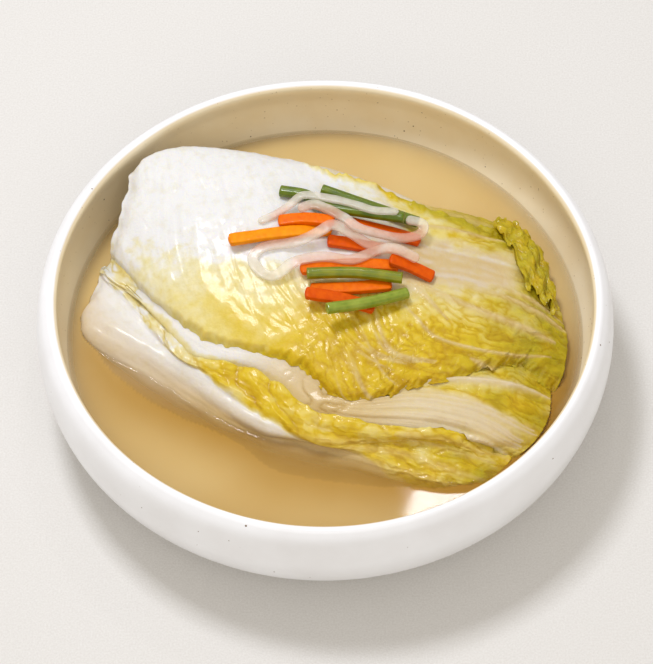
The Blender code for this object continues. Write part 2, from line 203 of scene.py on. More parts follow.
def outer_profile(samples):
    """Outside of the bowl from the foot up to the top of the rim, as (radius, z)."""
    return smooth_curve([(FOOT_RADIUS, 0.0), (FOOT_RADIUS + 16, 3.5), (BELLY_RADIUS - 13, 12.0),
                         (BELLY_RADIUS - 3.5, 22.0), (BELLY_RADIUS, 35.0), (BELLY_RADIUS - 0.8, 45.0),
                         (RIM_OUTER_RADIUS + 1.2, 51.5), (RIM_OUTER_RADIUS - 1.8, BOWL_HEIGHT)],
                        np.linspace(0.0, 1.0, samples))


def inner_profile(samples):
    """Inside of the bowl from the rim down to the edge of the flat floor, as (radius, z)."""
    return smooth_curve([(RIM_INNER_RADIUS + 1.2, BOWL_HEIGHT - 0.2), (RIM_INNER_RADIUS, BOWL_HEIGHT - 2),
                         (RIM_INNER_RADIUS + 1.8, 43.0), (RIM_INNER_RADIUS + 0.6, 35.0),
                         (BRINE_RADIUS, BRINE_Z), (96.0, 18.5), (80.0, 10.5), (FLOOR_RADIUS, FLOOR_Z)],
                        np.linspace(0.0, 1.0, samples))


INNER_WALL = inner_profile(60)[::-1]


def inner_radius(z):
    """Inside radius of the bowl at height z."""
    return np.interp(z, INNER_WALL[:, 1], INNER_WALL[:, 0])


# ---------------------------------------------------------------- cabbage surface

def cabbage_surface(u, v, depth=0.0):
    """Point of the cabbage at (u, v), `depth` under its skin, measured towards its long axis."""
    u, v, depth = np.broadcast_arrays(np.asarray(u, float), np.asarray(v, float), depth)
    lines = np.stack([smooth_curve(points, u) for _, points in GUIDES])
    knots, tangents = knots_and_tangents(lines)
    span = np.clip(np.floor(v).astype(int), 0, LAST_GUIDE - 1)
    low = span[None, ..., None]

    def at_guide(values, index):
        return np.take_along_axis(values, index, axis=0)[0]

    width = at_guide(knots[..., None], low + 1) - at_guide(knots[..., None], low)
    point = hermite((v - span)[..., None], width, at_guide(lines, low), at_guide(tangents, low),
                    at_guide(lines, low + 1), at_guide(tangents, low + 1))
    radius = np.hypot(point[..., 0], point[..., 1])
    limit = inner_radius(point[..., 2]) - WALL_CLEARANCE
    point[..., :2] *= np.minimum(1.0, limit / np.maximum(radius, 1.0))[..., None]
    inward = AXIS_START + u[..., None] * (AXIS_END - AXIS_START) - point
    inward /= np.linalg.norm(inward, axis=-1, keepdims=True)
    return point + inward * depth[..., None]


def frill(u, size, phase):
    """Waviness of a leaf's margin, in guide numbers."""
    turn = 2 * math.pi * FRILL_COUNT * u + phase
    return size * (0.7 * np.sin(turn) + 0.3 * np.sin(2.3 * turn))


def ruffle(u, size, phase):
    """Finer waviness on top of the frill."""
    turn = 2 * math.pi * u
    return size * (np.sin(23 * turn + phase) + 0.7 * np.sin(41 * turn + 2 * phase)
                   + 0.5 * np.sin(67 * turn + 3 * phase)) * (0.6 + 0.4 * np.sin(5 * turn + phase))


def cap_back(u):
    """Back margin of the top leaf: behind the ridge at the stem, in front of it further along."""
    return 1.35 + 0.75 * ease(0.26, 0.42, u) + frill(u, 0.04, 0.4)


def cap_front(u):
    """Front margin of the top leaf, which draws back from the second leaf's fan at the tips."""
    return CAP_MARGIN + np.interp(u, [0.0, 0.15, 0.27, 0.38, 0.47, 0.53, 0.6, 0.76, 0.82, 0.89, 1.0],
                                  [-0.35, 0.0, 0.14, 0.03, 0.05, 0.2, 0.0, -0.12, -0.38, -0.55, -0.12])


def cap_thickness(u, v):
    """The top leaf is a thick white petiole at the stem end and a thin blade elsewhere."""
    petiole = (1 - ease(0.25, 0.75, u)) * (1 - ease(0.3, 1.6, np.abs(v - 2.8)))
    return BLADE_THICKNESS + (PETIOLE_THICKNESS - BLADE_THICKNESS) * petiole


def second_front(u):
    """Front margin of the second leaf, which widens where its stem fans out."""
    return SECOND_EDGE - 0.1 + frill(u, 0.1, 2.0) + 0.9 * ease(0.76, 0.98, u)


def second_thickness(u, v):
    """The second leaf is thickest along its white stem."""
    return BLADE_THICKNESS + 2.0 * bell(v, 5.4, 0.5) * (1 - ease(0.5, 0.9, u))


def under_cap(u, v):
    """Depth of what lies right under the top leaf: zero outside its margins."""
    inside_front = 1 - ease(0.0, 0.7, v - cap_front(u))
    inside_back = 1 - ease(0.15, 0.6, cap_back(u) - v)
    return inside_front * inside_back * (cap_thickness(u, v) + LEAF_GAP)


def under_second(u, v):
    """Depth of what lies right under the second leaf."""
    covered = 1 - ease(-0.1, 0.3, v - second_front(u))
    return covered * ease(0.04, 0.15, u) * (second_thickness(u, v) + LEAF_GAP) + under_cap(u, v)


def heart_depth(u, v):
    """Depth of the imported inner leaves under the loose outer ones."""
    return HEART_DEPTH * ease(1.0, 1.45, v) * (1 - 0.3 * ease(5.8, 6.6, v)) * (1 - ease(9.0, 9.6, v))


# ---------------------------------------------------------------- meshes

def add_piece(name, points, faces, masks, material):
    """A smooth-shaded piece from points in millimetres, with its masks as attributes."""
    mesh = bpy.data.meshes.new(name)
    mesh.from_pydata((np.asarray(points) * MM).tolist(), [], faces)
    bm = bmesh.new()
    bm.from_mesh(mesh)
    bmesh.ops.recalc_face_normals(bm, faces=bm.faces)
    bm.to_mesh(mesh)
    bm.free()
    for label, values in masks.items():
        mesh.attributes.new(label, "FLOAT", "POINT").data.foreach_set(
            "value", np.asarray(values, np.float32).ravel())
    mesh.shade_smooth()
    mesh.materials.append(material)
    piece = bpy.data.objects.new(name, mesh)
    bpy.context.collection.objects.link(piece)
    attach(piece, "root")
    return piece


def grid_faces(rows, columns, start=0):
    """Quads over a grid of vertices numbered row by row."""
    corner = (np.arange(rows - 1)[:, None] * columns + np.arange(columns - 1)).ravel() + start
    return np.column_stack([corner, corner + columns, corner + columns + 1, corner + 1]).tolist()


def rim_of(rows, columns, start=0):
    """Numbers of the vertices round a grid, in order."""
    first = np.arange(columns)
    return start + np.concatenate([first[:-1], np.arange(rows - 1) * columns + columns - 1,
                                   (rows - 1) * columns + first[:0:-1],
                                   np.arange(rows - 1, 0, -1) * columns])


COARSE = 4


def close_slab(upper, lower):
    """Points and faces of a slab with a fine upper grid and an underside COARSE times coarser."""
    rows, columns = upper.shape[:2]
    under = lower[::COARSE, ::COARSE]
    start = rows * columns
    faces = grid_faces(rows, columns) + grid_faces(*under.shape[:2], start)
    fine = rim_of(rows, columns)
    plain = rim_of(*under.shape[:2], start)
    for k, here in enumerate(plain):
        there = plain[(k + 1) % len(plain)]
        edge = [fine[(k * COARSE + step) % len(fine)] for step in range(COARSE + 1)]
        half = COARSE // 2
        for step in range(COARSE):
            faces.append([edge[step], edge[step + 1], here if step < half else there])
        faces.append([edge[half], there, here])
    points = np.concatenate([upper.reshape(-1, 3), under.reshape(-1, 3)])
    return points, [[int(i) for i in face] for face in faces]


def fine_and_under(values):
    """A mask for a slab's upper grid and its underside."""
    return np.concatenate([values.ravel(), values[::COARSE, ::COARSE].ravel()])


def ring_faces(rings, sides, closed_ends=True):
    """Faces of a tube of rings, with a face over each end."""
    faces = []
    for ring in range(rings - 1):
        for side in range(sides):
            turn = (side + 1) % sides
            faces.append([ring * sides + side, (ring + 1) * sides + side,
                          (ring + 1) * sides + turn, ring * sides + turn])
    if closed_ends:
        faces.append(list(range(sides)))
        faces.append(list(range((rings - 1) * sides, rings * sides)))
    return faces


def outward(points):
    """Unit directions out of the cabbage at each point of a (u, v) grid."""
    direction = np.cross(np.gradient(points, axis=1), np.gradient(points, axis=0))
    return direction / np.linalg.norm(direction, axis=-1, keepdims=True)


# ---------------------------------------------------------------- material nodes

def colour(code):
    """Linear colour from an sRGB hex value."""
    channels = [int(code[k:k + 2], 16) / 255 for k in (0, 2, 4)]
    return [c / 12.92 if c <= 0.04045 else ((c + 0.055) / 1.055)**2.4 for c in channels] + [1.0]


def node(tree, kind, inputs=None, **settings):
    """Add a node with its settings; an input is a value or the socket that feeds it."""
    made = tree.nodes.new(kind)
    for label, value in settings.items():
        setattr(made, label, value)
    for key, value in (inputs or {}).items():
        if isinstance(value, bpy.types.NodeSocket):
            tree.links.new(value, made.inputs[key])
        else:
            made.inputs[key].default_value = value
    return made


def start_material(label):
    """A new node material, its tree and its Principled shader."""
    material = bpy.data.materials.new(label)
    material.use_nodes = True
    return material, material.node_tree, material.node_tree.nodes["Principled BSDF"]


def settle(tree, shader, links, **values):
    """Link sockets into the shader and set its plain values."""
    for label, socket in links.items():
        tree.links.new(socket, shader.inputs[label])
    for label, value in values.items():
        shader.inputs[label.replace("_", " ")].default_value = value


def blend(tree, share, first, second, how="MIX"):
    """Mix two colours by a share."""
    return node(tree, "ShaderNodeMix", {0: share, 6: first, 7: second},
                data_type="RGBA", blend_type=how).outputs[2]


def ramp(tree, share, stops):
    """Colours or greys along a ramp, from (position, hex) stops."""
    made = node(tree, "ShaderNodeValToRGB", {0: share})
    elements = made.color_ramp.elements
    for position, _ in stops[2:]:
        elements.new(position)
    for element, (position, code) in zip(elements, stops):
        element.position = position
        element.color = colour(code)
    return made.outputs["Color"]


def mask(tree, label):
    """A mask that the mesh carries."""
    return node(tree, "ShaderNodeAttribute", attribute_name=label).outputs["Fac"]


def object_place(tree):
    """Position on the piece, in metres."""
    return node(tree, "ShaderNodeTexCoord").outputs["Object"]


def speckle(tree, place, spacing, share):
    """Sparse round specks, `spacing` metres apart, of a size that varies up to `share` of it."""
    cells = node(tree, "ShaderNodeTexVoronoi", {"Vector": place, "Scale": 1 / spacing})
    size = node(tree, "ShaderNodeMath", {0: cells.outputs["Color"], 1: share}, operation="MULTIPLY")
    gap = node(tree, "ShaderNodeMath", {0: cells.outputs["Distance"], 1: size.outputs[0]},
               operation="SUBTRACT")
    return node(tree, "ShaderNodeMapRange", {"Value": gap.outputs[0], "From Min": 0.012, "From Max": -0.008}
                ).outputs["Result"]


def lumps(tree, place, size, detail=3.0):
    """Noise with lumps of `size` metres."""
    inputs = {"Vector": place, "Scale": 1 / size, "Detail": detail}
    return node(tree, "ShaderNodeTexNoise", inputs).outputs[0]


def fine_bump(tree, place, size, depth, strength=1.0):
    """Relief too fine for the mesh, `depth` metres high."""
    return node(tree, "ShaderNodeBump", {"Height": lumps(tree, place, size), "Strength": strength,
                                         "Distance": depth}).outputs["Normal"]


# ---------------------------------------------------------------- materials

def speckled_stoneware():
    """Stoneware with an opaque white glaze outside and on the rim and a sand-coloured one inside.

    Satin, a little uneven from dipping, with iron specks 0.3 to 0.6 mm wide about 6 mm apart and a
    fainter, finer speckle all over the inside.
    """
    material, tree, shader = start_material("speckled_stoneware_glaze")
    place = object_place(tree)
    cloud = lumps(tree, place, 0.022, 3.0)
    white = ramp(tree, cloud, [(0.3, "F2F1F1"), (0.7, "F9F9FA")])
    sand = ramp(tree, cloud, [(0.3, "EFDDB7"), (0.7, "F5E7C8")])
    dust = speckle(tree, place, 0.0028, 0.16)
    sand = blend(tree, node(tree, "ShaderNodeMath", {0: dust, 1: 0.45}, operation="MULTIPLY").outputs[0],
                 sand, colour("A98F62"))
    glaze = blend(tree, mask(tree, "inside"), white, sand)
    glaze = blend(tree, speckle(tree, place, 0.006, 0.07), glaze, colour("7A6248"))
    settle(tree, shader, {"Base Color": glaze, "Normal": fine_bump(tree, place, 0.006, 0.0002, 0.5)},
           Roughness=0.3, IOR=1.5, Coat_Weight=0.25, Coat_Roughness=0.12)
    return material


def cloudy_brine():
    """Kimchi brine, milky from starch: pale tan, deeper where little light reaches it.

    What lies just under it shows through and is lost within a few millimetres.
    """
    material, tree, shader = start_material("cloudy_brine")
    place = object_place(tree)
    drift = lumps(tree, place, 0.045, 2.0)
    body = ramp(tree, drift, [(0.3, "D6B676"), (0.7, "DCC084")])
    body = blend(tree, mask(tree, "shade"), body, colour("AA7E2A"))
    settle(tree, shader, {"Base Color": body, "Alpha": mask(tree, "cover")},
           Roughness=0.04, IOR=1.34, Subsurface_Weight=0.1, Subsurface_Scale=0.004,
           Subsurface_Radius=(1.0, 0.7, 0.4))
    return material


def pickled_cabbage():
    """Salted napa cabbage, limp and wet: white juicy ribs, and a blade that goes from cream through
    yellow to yellow-green. The salt makes it half translucent, and a film of brine makes it shine.
    """
    material, tree, shader = start_material("pickled_cabbage")
    place = object_place(tree)
    mottle = lumps(tree, place, 0.004, 4.0)
    uneven = node(tree, "ShaderNodeMath", {0: mottle, 1: -0.5}, operation="ADD").outputs[0]
    ripe = node(tree, "ShaderNodeMath", {0: uneven, 1: 0.32, 2: mask(tree, "yellow")},
                operation="MULTIPLY_ADD", use_clamp=True).outputs[0]
    blade = ramp(tree, ripe, [(0.1, "E2E1DE"), (0.22, "E1D9B2"), (0.45, "DFCD7A"), (0.7, "D9BB22"),
                              (1.0, "CCA804")])
    green_share = node(tree, "ShaderNodeMath", {0: uneven, 1: 0.7, 2: mask(tree, "green")},
                       operation="MULTIPLY_ADD", use_clamp=True).outputs[0]
    leafy = ramp(tree, mottle, [(0.3, "A09208"), (0.7, "C2B024")])
    blade = blend(tree, green_share, blade, leafy)
    blade = blend(tree, mask(tree, "rib"), blade, colour("D3BC86"))
    blade = blend(tree, mask(tree, "soaked"), blade, colour("CAAF7A"))
    # Painted shade: a darker, deeper yellow multiplied into the creases and valleys, where shade falls.
    blade = blend(tree, mask(tree, "crease"), blade, colour("D8C266"), how="MULTIPLY")
    normal = fine_bump(tree, place, 0.0011, 0.0002, 0.7)
    settle(tree, shader, {"Base Color": blade, "Normal": normal},
           Roughness=0.42, IOR=1.34, Specular_IOR_Level=0.4, Subsurface_Weight=0.25,
           Subsurface_Scale=0.0025, Subsurface_Radius=(1.0, 0.8, 0.35), Coat_Weight=0.2,
           Coat_Roughness=0.12)
    return material


def raw_carrot(label, light, deep):
    """Julienned carrot: orange flesh with faint fibres along the cut and a wet shine."""
    material, tree, shader = start_material(label)
    place = object_place(tree)
    fibre = lumps(tree, place, 0.0022, 4.0)
    flesh = ramp(tree, fibre, [(0.3, deep), (0.7, light)])
    flesh = blend(tree, mask(tree, "end"), flesh, colour(deep))
    settle(tree, shader, {"Base Color": flesh, "Normal": fine_bump(tree, place, 0.0007, 0.0001, 0.6)},
           Roughness=0.36, IOR=1.34, Subsurface_Weight=0.05, Subsurface_Scale=0.0015,
           Subsurface_Radius=(1.0, 0.4, 0.1), Specular_IOR_Level=0.2, Coat_Weight=0.06,
           Coat_Roughness=0.1)
    return material


def pickled_radish():
    """Pickled white radish strips: glassy and grey-white, with a painted orange where light from the carrot
    below would shine through.
    """
    material, tree, shader = start_material("pickled_radish")
    place = object_place(tree)
    cloud = lumps(tree, place, 0.003, 3.0)
    flesh = ramp(tree, cloud, [(0.3, "EFE6D2"), (0.7, "F6F0E2")])
    # Painted light: the orange of the carrots below, as it would shine through the radish.
    flesh = blend(tree, mask(tree, "blush"), flesh, colour("E08A56"))
    body = node(tree, "ShaderNodeMapRange", {"Value": cloud, "From Min": 0.3, "From Max": 0.7,
                                             "To Min": 0.36, "To Max": 0.44}).outputs["Result"]
    settle(tree, shader, {"Base Color": flesh, "Alpha": body,
                          "Normal": fine_bump(tree, place, 0.0008, 0.0001, 0.5)},
           Roughness=0.26, IOR=1.34, Subsurface_Weight=0.2, Subsurface_Scale=0.002,
           Subsurface_Radius=(1.0, 0.8, 0.6), Coat_Weight=0.2, Coat_Roughness=0.08)
    return material


def green_stem_skin(label, light, deep):
    """Water-dropwort stem: smooth green skin with fine lengthwise ribs, paler inside the cut."""
    material, tree, shader = start_material(label)
    place = object_place(tree)
    cloud = lumps(tree, place, 0.005, 3.0)
    skin = ramp(tree, cloud, [(0.35, deep), (0.7, light)])
    skin = blend(tree, mask(tree, "rib"), skin, colour(light))
    skin = blend(tree, mask(tree, "pith"), skin, colour("9A9A30"))
    settle(tree, shader, {"Base Color": skin, "Normal": fine_bump(tree, place, 0.0008, 0.00008, 0.5)},
           Roughness=0.32, IOR=1.38, Subsurface_Weight=0.1, Subsurface_Scale=0.001,
           Coat_Weight=0.25, Coat_Roughness=0.1)
    return material


def limewashed_table():
    """Table top with a matt limewash: nearly white, with grain that is drawn at 0.8 mm to show."""
    material, tree, shader = start_material("limewashed_table")
    place = object_place(tree)
    grain = lumps(tree, place, 0.0008, 3.0)
    drift = lumps(tree, place, 0.05, 3.0)
    lime = ramp(tree, grain, [(0.3, "D8D5D0"), (0.7, "E3E1DD")])
    lime = blend(tree, node(tree, "ShaderNodeMath", {0: drift, 1: 0.25}, operation="MULTIPLY").outputs[0],
                 lime, colour("DCD8CF"))
    settle(tree, shader, {"Base Color": lime, "Normal": fine_bump(tree, place, 0.0008, 0.0002, 0.4)},
           Roughness=0.8, Specular_IOR_Level=0.2)
    return material


# ---------------------------------------------------------------- bowl

BOWL_SEGMENTS = 240


def make_bowl():
    """The turned bowl, with the slight waver of a hand-thrown wall."""
    outer = outer_profile(40)
    inner = inner_profile(48)
    top = [(RIM_OUTER_RADIUS - 2.6, BOWL_HEIGHT - 0.02), (RIM_INNER_RADIUS + 2.0, BOWL_HEIGHT - 0.02)]
    floor = [(FLOOR_RADIUS * share, FLOOR_Z) for share in (0.7, 0.35)]
    foot = [(FOOT_RADIUS * share, 0.0) for share in (0.35, 0.7)]
    profile = np.array([*foot, *outer, *top, *inner, *floor])
    edge = len(foot) + len(outer) + len(top)
    turn = 2 * math.pi * np.arange(BOWL_SEGMENTS) / BOWL_SEGMENTS
    radius, z = profile[:, 0, None], profile[:, 1, None]
    waver = 1 + 0.0015 * np.sin(3 * turn + 0.7) + 0.0008 * np.sin(7 * turn) - 0.0023
    radius = radius * (1 + (waver - 1) * ease(5.0, 30.0, z))
    points = np.stack([radius * np.cos(turn), radius * np.sin(turn),
                       np.broadcast_to(z, radius.shape)], axis=-1)
    ring = np.arange(len(profile))
    inside = np.broadcast_to((ring > edge)[:, None], points.shape[:2])
    faces = ring_faces(len(profile), BOWL_SEGMENTS)
    piece = add_piece("glazed_bowl", points.reshape(-1, 3), faces, {"inside": inside},
                      speckled_stoneware())
    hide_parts("bowl")
    return piece


# ---------------------------------------------------------------- leaves

class LeafGrid:
    """The upper side of a leaf as a grid of points, and the way its veins run."""

    def __init__(self, span, margins, depth, counts, ribs):
        back, front = margins
        share = np.linspace(0.0, 1.0, counts[1])[None, :]
        along = np.linspace(*span, counts[0])[:, None]
        self.v = back(along) + (front(along) - back(along)) * share
        self.u = np.broadcast_to(along, self.v.shape)
        self.base = cabbage_surface(self.u, self.v, depth(self.u, self.v))
        self.out = outward(self.base)
        across = np.linalg.norm(np.diff(self.base, axis=1), axis=-1)
        from_back = np.concatenate([np.zeros((len(along), 1)), np.cumsum(across, axis=1)], axis=1)
        self.from_back = from_back
        self.from_front = from_back[:, -1:] - from_back
        self.rib, self.rib_rise, self.along = follow_ribs(self.base, ribs, depth)


def follow_ribs(points, ribs, depth):
    """How much each point is on a rib, how far the ribs lift it, and the way the veins run there."""
    flat = points.reshape(-1, 3)
    places, directions, sizes = [], [], []
    for path, width, rise in ribs:
        line = smooth_curve(path, np.linspace(0, 1, 400))
        line = cabbage_surface(line[:, 0], line[:, 1], depth(line[:, 0], line[:, 1]))
        travel = np.concatenate([[0], np.cumsum(np.linalg.norm(np.diff(line, axis=0), axis=1))])
        count = max(8, int(travel[-1] / 1.2))
        at = np.linspace(0, travel[-1], count)
        line = np.column_stack([np.interp(at, travel, line[:, k]) for k in range(3)])
        ahead = np.gradient(line, axis=0)
        places.append(line)
        directions.append(ahead / np.linalg.norm(ahead, axis=1, keepdims=True))
        fade = np.minimum(1.0, np.minimum(at / 10.0 + 0.15, (travel[-1] - at) / 16.0 + 0.1))
        sizes.append(np.column_stack([width * fade**0.5, rise * fade]))
    places, directions, sizes = (np.concatenate(part) for part in (places, directions, sizes))
    rib, lift = np.zeros(len(flat)), np.zeros(len(flat))
    along = np.zeros_like(flat)
    for first in range(0, len(flat), 4000):
        block = slice(first, first + 4000)
        apart = flat[block, None, :] - places[None]
        slide = np.clip(np.einsum("abk,bk->ab", apart, directions), -0.7, 0.7)
        distance2 = np.maximum(np.einsum("abk,abk->ab", apart, apart) - slide**2, 0.0)
        along[block] = np.einsum("ab,bk->ak", 1 / (distance2 + 9.0)**2, directions)
        near = np.exp(-distance2 / (sizes[:, 0] / 2)**2)
        rib[block] = near.max(axis=1)
        lift[block] = (near * sizes[:, 1]).max(axis=1)
    along /= np.linalg.norm(along, axis=1, keepdims=True)
    shape = points.shape[:2]
    return rib.reshape(shape), lift.reshape(shape), along.reshape(points.shape)


def make_leaf(name, grid, height, thickness, masks, material, node_name):
    """Close a leaf: its dressed upper side over a smooth underside."""
    upper = grid.base + grid.out * height[..., None]
    edge = np.minimum(grid.from_back, grid.from_front)
    taper = 0.15 + 0.85 * ease(0.0, 7.0, edge)
    drop = thickness(grid.u, grid.v) * taper
    lower = grid.base + grid.out * (np.minimum(height, 0.0) - drop)[..., None]
    points, faces = close_slab(upper, lower)
    full = {label: np.zeros(grid.u.shape) for label in ("yellow", "green", "rib", "soaked", "crease")}
    full.update(masks)
    piece = add_piece(name, points, faces, {k: fine_and_under(v) for k, v in full.items()}, material)
    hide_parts(node_name)
    return piece


def blade_relief(grid, coarse, fine, seed):
    """Crumpled blade between the veins, and how deep in its valleys each point lies, 0 to 1, which sets the
    painted shade.
    """
    place = warped(grid.base, 6.0, 1.8, seed)
    folds = streaks(place, grid.along, 8.5, 22.0, seed + 3)
    puffs = np.abs(streaks(place, grid.along, 4.0, 9.0, seed + 4))
    ridges = np.exp(-np.abs(streaks(place, grid.along, 3.2, 16.0, seed + 5)) / 0.1)
    facets = streaks(warped(place, 2.0, 0.5, seed + 7), grid.along, 1.6, 3.6, seed + 8)
    hair = streaks(grid.base, grid.along, 1.0, 5.0, seed + 6)
    height = (coarse * (0.85 * folds + 0.8 * (puffs - 0.35) + 0.35 * ridges)
              + fine * (0.3 * facets + 0.22 * hair))
    valley = 0.7 * np.exp(-puffs / 0.18) + 0.35 * ease(0.1, 0.9, -folds) + 0.25 * ease(0.2, 1.0, -facets)
    return height, np.clip(valley - 0.3 * ridges, 0.0, 1.0)


def cap_petiole(u, v, wander):
    """1 on the broad white midrib of the top leaf: all of its back at the stem end, then a band."""
    v = v + wander * ease(0.3, 0.6, u)
    front = np.interp(u, [0.0, 0.6, 0.73, 0.82, 0.9], [3.72, 3.62, 3.38, 3.14, 3.0])
    back = np.interp(u, [0.0, 0.45, 0.6, 0.69, 0.82, 0.9], [0.8, 1.0, 2.85, 2.75, 2.5, 2.4])
    band = (1 - ease(-0.16, 0.22, v - front)) * ease(-0.15, 0.15, v - back)
    return band * (1 - ease(0.8, 0.88, u))


def cap_ribs():
    """Veins of the top leaf: fine ones fan from the midrib, stout ones run on to the tips."""
    dice = np.random.default_rng(11)
    fan = []
    for start in np.linspace(0.0, 0.5, 27):
        start = start + dice.uniform(-0.006, 0.006)
        lean = min(0.05 + 0.45 * start, 0.2) * dice.uniform(0.8, 1.2)
        end = dice.uniform(4.5, 5.1)
        rise = dice.uniform(0.15, 0.4) * (0.3 + 0.7 * float(ease(0.15, 0.4, start)))
        fan.append((((start, 3.6), (start + 0.2 * lean, 4.0), (start + 0.6 * lean, 4.4),
                     (start + 1.2 * lean, end)), dice.uniform(0.9, 1.9), rise))
    stout = [
        (((0.56, 3.45), (0.62, 3.65), (0.688, 3.95)), 2.6, 0.7),
        (((0.58, 3.45), (0.623, 3.57), (0.688, 3.65), (0.765, 3.72), (0.84, 3.77), (0.95, 3.85)), 3.4, 1.0),
        (((0.62, 3.5), (0.73, 3.34), (0.83, 3.30), (0.93, 3.32), (1.0, 3.42)), 3.4, 1.0),
        (((0.66, 3.4), (0.76, 3.2), (0.88, 3.1), (1.0, 3.15)), 2.2, 0.6),
        (((0.62, 2.6), (0.72, 2.4), (0.82, 2.3)), 2.2, 0.5),
        (((0.78, 4.5), (0.84, 4.66), (0.92, 4.8)), 3.0, 0.6),
        (((0.6, 3.9), (0.7, 4.25), (0.82, 4.35), (0.95, 4.2)), 1.4, 0.5),
    ]
    return fan + stout


def make_cap(material):
    """The top leaf: smooth white midrib, finely ribbed cream blade, crumpled yellow-green tips."""
    def back(u):
        return cap_back(u) + ruffle(u, 0.03, 1.0) * ease(0.3, 0.42, u)

    def front(u):
        return cap_front(u) + ruffle(u, 0.045, 0.3) * ease(0.03, 0.2, u)

    grid = LeafGrid((0.0, 1.0), (back, front), lambda u, v: 0.0 * u, (361, 225), cap_ribs())
    u, v = grid.u, grid.v
    wisps = streaks(grid.base, grid.along, 2.6, 22.0, 19) * ease(0.45, 0.62, u)
    petiole = cap_petiole(u, v, 0.12 * noise(grid.base, 6.0, 20) + 0.07 * wisps)
    bare = 1 - petiole
    front_half = ease(3.3, 4.2, v)
    crumple = ease(0.36, 0.6, u) * front_half + ease(0.62, 0.8, u) * (1 - front_half)
    relief, fold = blade_relief(grid, 0.85, 0.65, 3)
    relief *= bare * (0.09 + 0.91 * crumple)
    relief += bare * (1 - crumple) * (0.7 * streaks(grid.base, grid.along, 11.0, 30.0, 26)
                                      + 0.25 * noise(grid.base, 6.0, 27))
    soft = 0.5 * noise(grid.base, 14.0, 9) + 0.2 * streaks(grid.base, grid.along, 3.0, 20.0, 4)
    dents = creases(streaks(warped(grid.base, 9.0, 2.0, 17), grid.along, 9.0, 22.0, 18), 0.05)
    edge = ease(0.0, 5.0, grid.from_front)
    flutter = (1 - edge) * (0.8 * noise(grid.base, 6.0, 12) + 0.5 * noise(grid.base, 2.6, 13)
                            - 2.8 + 0.8 * ease(0.45, 0.6, u))
    roll = np.maximum(ease(0.78, 0.9, u), 1.5 * (1 - ease(0.08, 0.22, u)))
    flutter -= 1.8 * (1 - ease(0.0, 10.0, grid.from_front)) * roll
    back_edge = (1 - ease(0.0, 6.0, grid.from_back)) * ease(0.33, 0.45, u)
    back_flutter = back_edge * (0.8 + 1.4 * noise(grid.base, 5.0, 14) + 0.6 * noise(grid.base, 2.4, 15))
    end = 1 - ease(0.0, 0.045, u)
    ragged = 1.8 * noise(grid.base, 10.0, 24) + 0.8 * noise(grid.base, 4.0, 25)
    grid.base = grid.base + AXIS_WAY * (ragged * end)[..., None]
    height = relief + petiole * (soft - 0.12 * dents + 0.18 * wisps) + grid.rib_rise * bare
    height += flutter * ease(-0.04, 0.02, u) + back_flutter - 3.0 * end**2
    tip = ease(0.66, 0.95, u)
    yellow = bare * (0.06 + 0.3 * ease(3.7, 4.6, v) * (0.55 + 0.45 * ease(0.05, 0.3, u))
                     + 0.46 * ease(0.12, 0.55, u) + 0.14 * crumple
                     + 0.24 * (1 - edge) * ease(0.38, 0.5, u))
    # Painted light and shade: a deeper yellow in the valleys and a paler one on the ridges.
    yellow += 0.3 * bare * ease(0.3, 0.6, u) * (fold - 0.45)
    yellow += petiole * ease(0.3, 0.55, u) * (0.16 + 0.12 * wisps) + 0.45 * back_edge
    green = tip * bare * (0.9 + 0.6 * noise(grid.base, 9.0, 22)) + 0.8 * back_edge * ease(0.5, 0.66, u)
    green += 0.6 * bare * (1 - ease(2.2, 2.5, v)) * ease(0.56, 0.7, u)
    masks = {
        "yellow": np.clip(yellow + 0.14 * noise(grid.base, 11.0, 21) * bare, 0, 1),
        "green": np.clip(green, 0, 1),
        "rib": np.clip(grid.rib * bare * ease(0.5, 0.6, u) * 0.9, 0, 1),
        "soaked": np.clip(petiole * ((0.8 + 0.25 * wisps) * ease(0.5, 0.62, u) + 0.04 * dents), 0, 1),
        # Painted shade in the valleys of the crumpled blade.
        "crease": np.clip(0.9 * fold * bare * (0.15 + 0.85 * crumple), 0, 1),
    }
    return make_leaf("top_leaf", grid, height, cap_thickness, masks, material, "leaf_cap")


def second_ribs():
    """Veins of the second leaf: its white stem, which opens into a fan."""
    ribs = [
        (((0.04, 5.1), (0.15, 5.5), (0.24, 5.5), (0.34, 5.5), (0.46, 5.65), (0.62, 5.6)), 9.0, 0.7),
        (((0.56, 5.1), (0.64, 4.92), (0.76, 4.9), (0.845, 4.92), (0.91, 4.97), (1.0, 5.12)), 2.8, 1.2),
    ]
    dice = np.random.default_rng(23)
    for share in np.linspace(0.0, 1.0, 8):
        share = share + dice.uniform(-0.06, 0.06)
        ribs.append((((0.55, 5.25 + 0.5 * share), (0.66, 5.1 + 0.7 * share), (0.8, 5.25 + 0.75 * share),
                      (dice.uniform(0.92, 1.0), 5.8 + 0.95 * share)),
                     dice.uniform(1.4, 3.4), dice.uniform(0.3, 0.9)))
    return ribs


